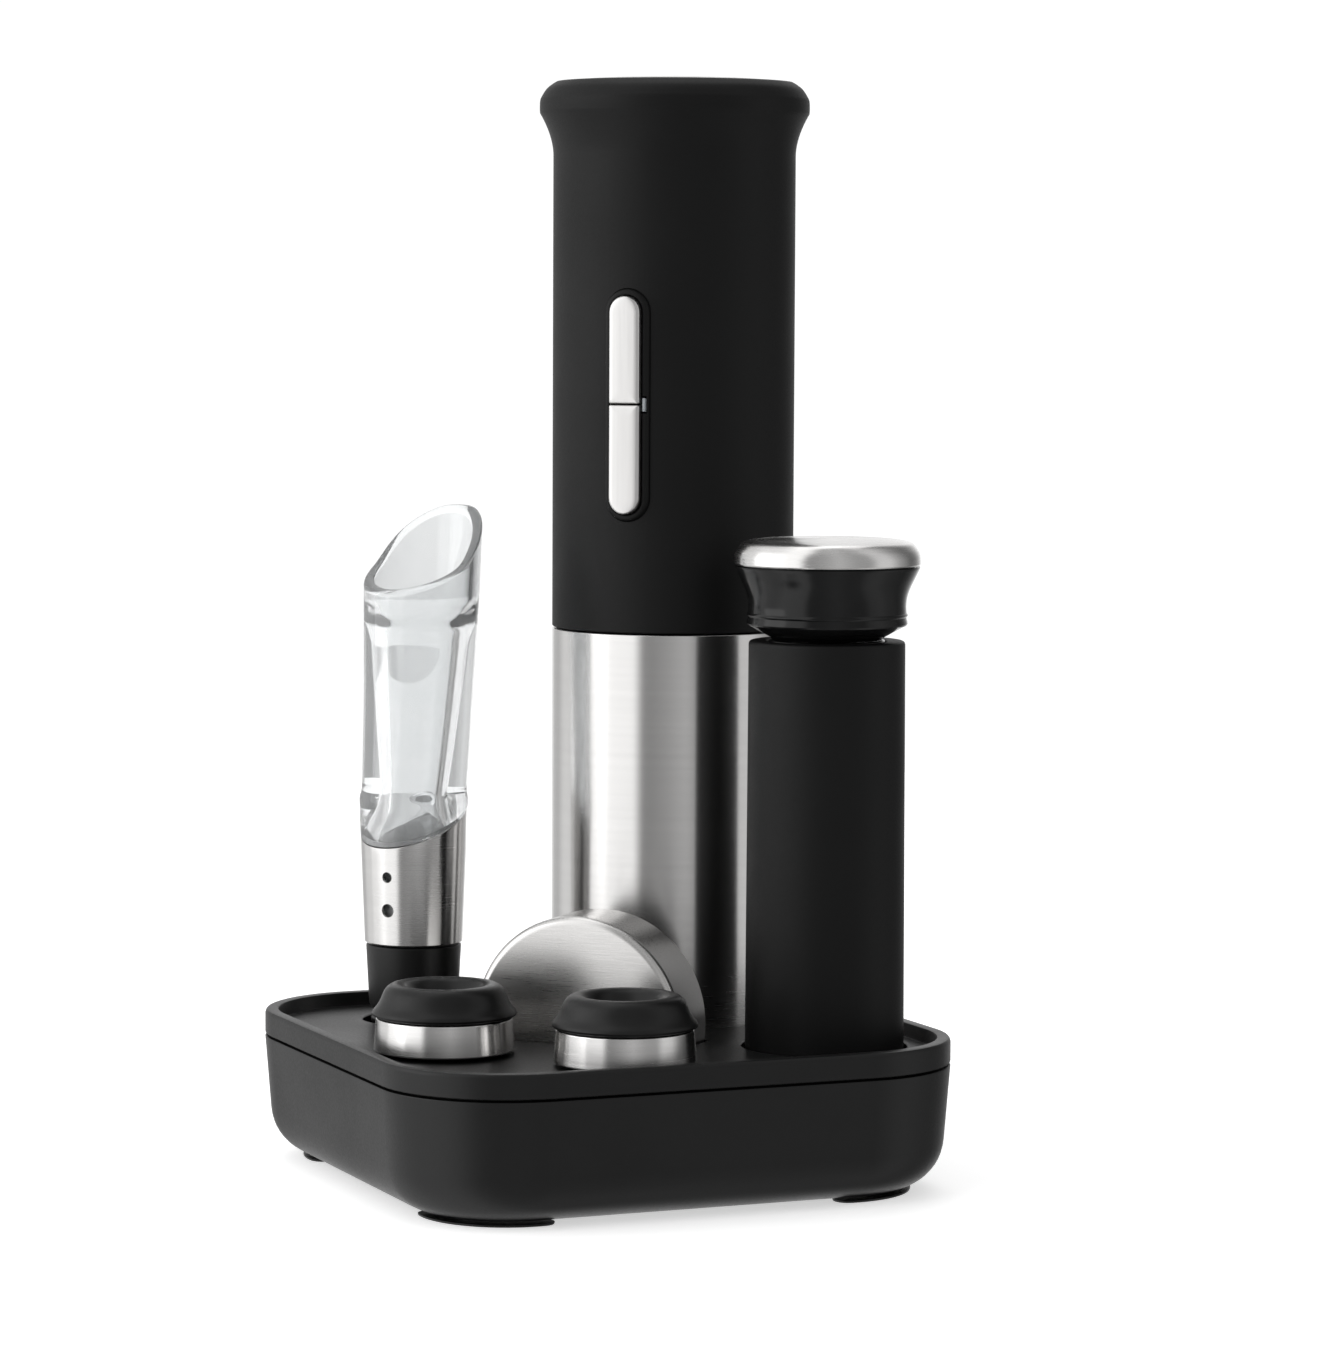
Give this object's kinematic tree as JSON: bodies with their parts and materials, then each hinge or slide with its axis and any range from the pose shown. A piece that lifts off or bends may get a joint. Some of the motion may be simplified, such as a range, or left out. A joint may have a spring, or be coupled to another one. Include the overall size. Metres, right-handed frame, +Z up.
{
  "type": "electric wine opener set",
  "caption": "Cordless electric wine opener standing in a square base with a vacuum pump, pourer, stoppers and foil cutter.",
  "frame": {"origin": "middle of the base's footprint, at the table, under the four feet", "axes": "+Z up; one rounded corner of the base points to -Y, the front, and the opener stands at the +Y corner; +X is to the right"},
  "size_m": [0.1574, 0.1574, 0.2393],
  "materials": {
    "base_plastic": "fine moulded texture, charcoal black",
    "soft_touch": "soft-touch black coating",
    "gloss_black": "polished black plastic",
    "black_rubber": "smooth silicone rubber",
    "steel": "brushed stainless steel",
    "satin_steel": "satin stainless steel",
    "clear_acrylic": "clear polished acrylic",
    "grey_lens": "translucent grey light pipe",
    "inner_plastic": "plain moulded plastic",
    "gear_nylon": "natural nylon",
    "brass": "plated contact brass",
    "circuit_board": "green solder mask",
    "cell_wrap": "shrink-wrapped cell"
  },
  "bodies": {
    "base": {"base_shell": "base_plastic", "base_deck": "base_plastic", "base_screw_1": "steel", "base_screw_2": "steel", "base_screw_3": "steel", "base_screw_4": "steel", "dc_inlet": "gloss_black", "foot_right": "black_rubber", "foot_back": "black_rubber", "foot_left": "black_rubber", "foot_front": "black_rubber", "charge_pin_left": "brass", "charge_pin_right": "brass"},
    "opener": {"steel_tube": "steel", "handle_sleeve": "soft_touch", "top_cap": "satin_steel", "button_bezel": "soft_touch", "status_lens": "grey_lens", "switch_board": "circuit_board", "neck_guide": "inner_plastic", "charge_pad_left": "brass", "charge_pad_right": "brass", "guide_barrel": "inner_plastic", "chassis": "inner_plastic", "battery_cell_1": "cell_wrap", "battery_cell_2": "cell_wrap", "battery_cell_3": "cell_wrap", "ring_gear": "gear_nylon", "motor_mount": "inner_plastic", "motor": "steel"},
    "button_up": {"button_up": "satin_steel"},
    "button_down": {"button_down": "satin_steel"},
    "drive": {"planet_carrier": "steel"},
    "sun": {"sun_gear": "brass"},
    "planet_1": {"planet_gear_1": "gear_nylon"},
    "planet_2": {"planet_gear_2": "gear_nylon"},
    "planet_3": {"planet_gear_3": "gear_nylon"},
    "worm_unit": {"worm_carriage": "inner_plastic", "worm": "steel"},
    "pump": {"pump_body": "soft_touch", "pump_gland": "gloss_black", "pump_mouth_seal": "black_rubber"},
    "pump_handle": {"pump_rod": "inner_plastic", "piston_seal": "black_rubber", "pump_knob": "gloss_black", "knob_cap": "satin_steel"},
    "pourer": {"pourer_plug": "black_rubber", "pourer_sleeve": "steel", "pourer_spout": "clear_acrylic"},
    "stopper_left": {"stopper_left_rubber": "black_rubber", "stopper_left_ring": "satin_steel"},
    "stopper_right": {"stopper_right_rubber": "black_rubber", "stopper_right_ring": "satin_steel"},
    "foil_cutter": {"foil_shell": "steel", "foil_core": "inner_plastic"},
    "foil_wheel_1": {"foil_wheel_1": "steel"},
    "foil_wheel_2": {"foil_wheel_2": "steel"},
    "foil_wheel_3": {"foil_wheel_3": "steel"},
    "foil_wheel_4": {"foil_wheel_4": "steel"}
  },
  "joints": [
    {"name": "opener_lift", "type": "slide", "parent": "base", "child": "opener", "axis": [0, 0, 1], "range_m": [0, 0.12]},
    {"name": "button_up_press", "type": "slide", "parent": "opener", "child": "button_up", "axis": [0, 1, 0], "range_m": [0, 0.0008], "stiffness_N_per_m": 1200, "springref_m": -0.0008},
    {"name": "button_down_press", "type": "slide", "parent": "opener", "child": "button_down", "axis": [0, 1, 0], "range_m": [0, 0.0008], "stiffness_N_per_m": 1200, "springref_m": -0.0008},
    {"name": "drive_spin", "type": "hinge", "parent": "opener", "child": "drive", "pos_m": [0, 0.04, 0.17], "axis": [0, 0, -1], "range_deg": [0, 1620]},
    {"name": "sun_spin", "type": "hinge", "parent": "opener", "child": "sun", "pos_m": [0, 0.04, 0.178], "axis": [0, 0, -1], "range_deg": [0, 6480]},
    {"name": "planet_1_spin", "type": "hinge", "parent": "drive", "child": "planet_1", "pos_m": [0.0084, 0.04, 0.178], "axis": [0, 0, -1], "range_deg": [-4860, 0]},
    {"name": "planet_2_spin", "type": "hinge", "parent": "drive", "child": "planet_2", "pos_m": [-0.0042, 0.04727, 0.178], "axis": [0, 0, -1], "range_deg": [-4860, 0]},
    {"name": "planet_3_spin", "type": "hinge", "parent": "drive", "child": "planet_3", "pos_m": [-0.0042, 0.03273, 0.178], "axis": [0, 0, -1], "range_deg": [-4860, 0]},
    {"name": "worm_feed", "type": "slide", "parent": "drive", "child": "worm_unit", "axis": [0, 0, -1], "range_m": [0, 0.0405]},
    {"name": "pump_lift", "type": "slide", "parent": "base", "child": "pump", "axis": [0, 0, 1], "range_m": [0, 0.1]},
    {"name": "pump_stroke", "type": "slide", "parent": "pump", "child": "pump_handle", "axis": [0, 0, 1], "range_m": [0, 0.065]},
    {"name": "pourer_lift", "type": "slide", "parent": "base", "child": "pourer", "axis": [0, 0, 1], "range_m": [0, 0.08]},
    {"name": "stopper_left_lift", "type": "slide", "parent": "base", "child": "stopper_left", "axis": [0, 0, 1], "range_m": [0, 0.06]},
    {"name": "stopper_right_lift", "type": "slide", "parent": "base", "child": "stopper_right", "axis": [0, 0, 1], "range_m": [0, 0.06]},
    {"name": "foil_cutter_lift", "type": "slide", "parent": "base", "child": "foil_cutter", "axis": [0, 0, 1], "range_m": [0, 0.06]},
    {"name": "foil_wheel_1_spin", "type": "hinge", "parent": "foil_cutter", "child": "foil_wheel_1", "pos_m": [0.01145, -0.005, 0.02215], "axis": [0, 1, 0], "continuous": true},
    {"name": "foil_wheel_2_spin", "type": "hinge", "parent": "foil_cutter", "child": "foil_wheel_2", "pos_m": [-0.01145, -0.005, 0.02215], "axis": [0, 1, 0], "continuous": true},
    {"name": "foil_wheel_3_spin", "type": "hinge", "parent": "foil_cutter", "child": "foil_wheel_3", "pos_m": [-0.01145, -0.005, 0.04505], "axis": [0, 1, 0], "continuous": true},
    {"name": "foil_wheel_4_spin", "type": "hinge", "parent": "foil_cutter", "child": "foil_wheel_4", "pos_m": [0.01145, -0.005, 0.04505], "axis": [0, 1, 0], "continuous": true}
  ],
  "couplings": [
    {"joint": "sun_spin", "follows": "drive_spin", "ratio": 4},
    {"joint": "planet_1_spin", "follows": "drive_spin", "ratio": -3},
    {"joint": "planet_2_spin", "follows": "drive_spin", "ratio": -3},
    {"joint": "planet_3_spin", "follows": "drive_spin", "ratio": -3},
    {"joint": "worm_feed", "follows": "drive_spin", "m_per_rad": 0.0014324}
  ]
}
